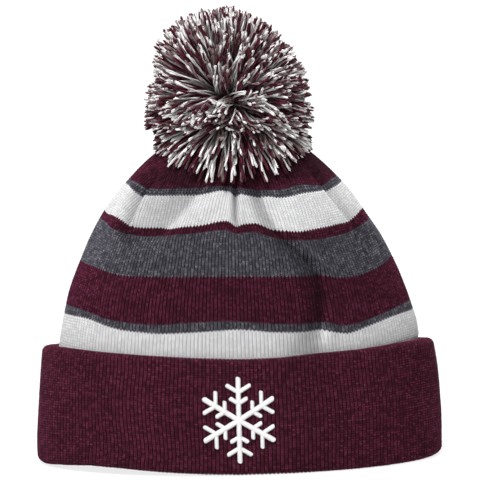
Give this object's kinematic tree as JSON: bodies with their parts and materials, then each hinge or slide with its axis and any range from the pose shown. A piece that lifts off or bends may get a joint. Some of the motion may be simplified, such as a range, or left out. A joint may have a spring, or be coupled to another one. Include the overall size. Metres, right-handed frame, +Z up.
{
  "type": "pom pom beanie",
  "caption": "Striped double-layer knitted beanie with a turned-up cuff, an embroidered snowflake on the cuff and a loose multi-colour yarn pom on the crown.",
  "frame": {"origin": "centre of the cuff's bottom fold, on the surface that the hat stands on", "axes": "+Z up through the crown and pom, -Y is the front with the emblem, +X the wearer's left ear"},
  "size_m": [0.2436, 0.1598, 0.275],
  "materials": {
    "maroon_knit": "matte",
    "white_knit": "matte",
    "grey_knit": "matte",
    "lining_knit": "matte",
    "cuff_knit": "matte",
    "sewing_thread": "matte",
    "emblem_thread": "matte",
    "stabilizer_cloth": "matte",
    "pom_maroon_yarn": "matte",
    "pom_white_yarn": "matte",
    "pom_grey_yarn": "matte",
    "tie_yarn": "matte"
  },
  "bodies": {
    "shell": {"hem_band": "maroon_knit", "stripe_white_lower": "white_knit", "stripe_grey_thin_lower": "grey_knit", "stripe_maroon_wide": "maroon_knit", "stripe_grey_wide": "grey_knit", "stripe_maroon_thin": "maroon_knit", "stripe_white_upper": "white_knit", "stripe_grey_thin_upper": "grey_knit", "crown_band": "maroon_knit", "lining": "lining_knit", "crown_closing_stitch": "sewing_thread", "pom_lower_strands": "pom_maroon_yarn", "crown_seam_thread_1": "sewing_thread", "crown_seam_thread_2": "sewing_thread", "crown_seam_thread_3": "sewing_thread", "crown_seam_thread_4": "sewing_thread", "crown_seam_thread_5": "sewing_thread", "crown_seam_thread_6": "sewing_thread"},
    "cuff": {"cuff_outer_layer": "cuff_knit", "cuff_inner_layer": "cuff_knit", "cuff_emblem": "emblem_thread", "emblem_stabilizer": "stabilizer_cloth"},
    "pom_tie": {"pom_tie_yarn": "tie_yarn", "pom_anchor_knot": "tie_yarn"},
    "pom": {"pom_binding": "tie_yarn", "pom_tuft_maroon_1": "pom_maroon_yarn", "pom_tuft_maroon_2": "pom_maroon_yarn", "pom_tuft_white_1": "pom_white_yarn", "pom_tuft_white_2": "pom_white_yarn", "pom_tuft_grey_1": "pom_grey_yarn", "pom_tuft_grey_2": "pom_grey_yarn"}
  },
  "joints": [
    {"name": "cuff_turn_down", "type": "slide", "parent": "shell", "child": "cuff", "axis": [0, 0, -1], "range_m": [0, 0.055]},
    {"name": "pom_sway", "type": "hinge", "parent": "shell", "child": "pom_tie", "pos_m": [0, 0, 0.205], "axis": [0, 1, 0], "range_deg": [-15, 15], "stiffness_Nm_per_rad": 0.05, "deforming": ["pom_lower_strands"]},
    {"name": "pom_nod", "type": "hinge", "parent": "pom_tie", "child": "pom", "pos_m": [0, 0, 0.205], "axis": [1, 0, 0], "range_deg": [-15, 15], "stiffness_Nm_per_rad": 0.05, "deforming": ["pom_lower_strands"]}
  ]
}
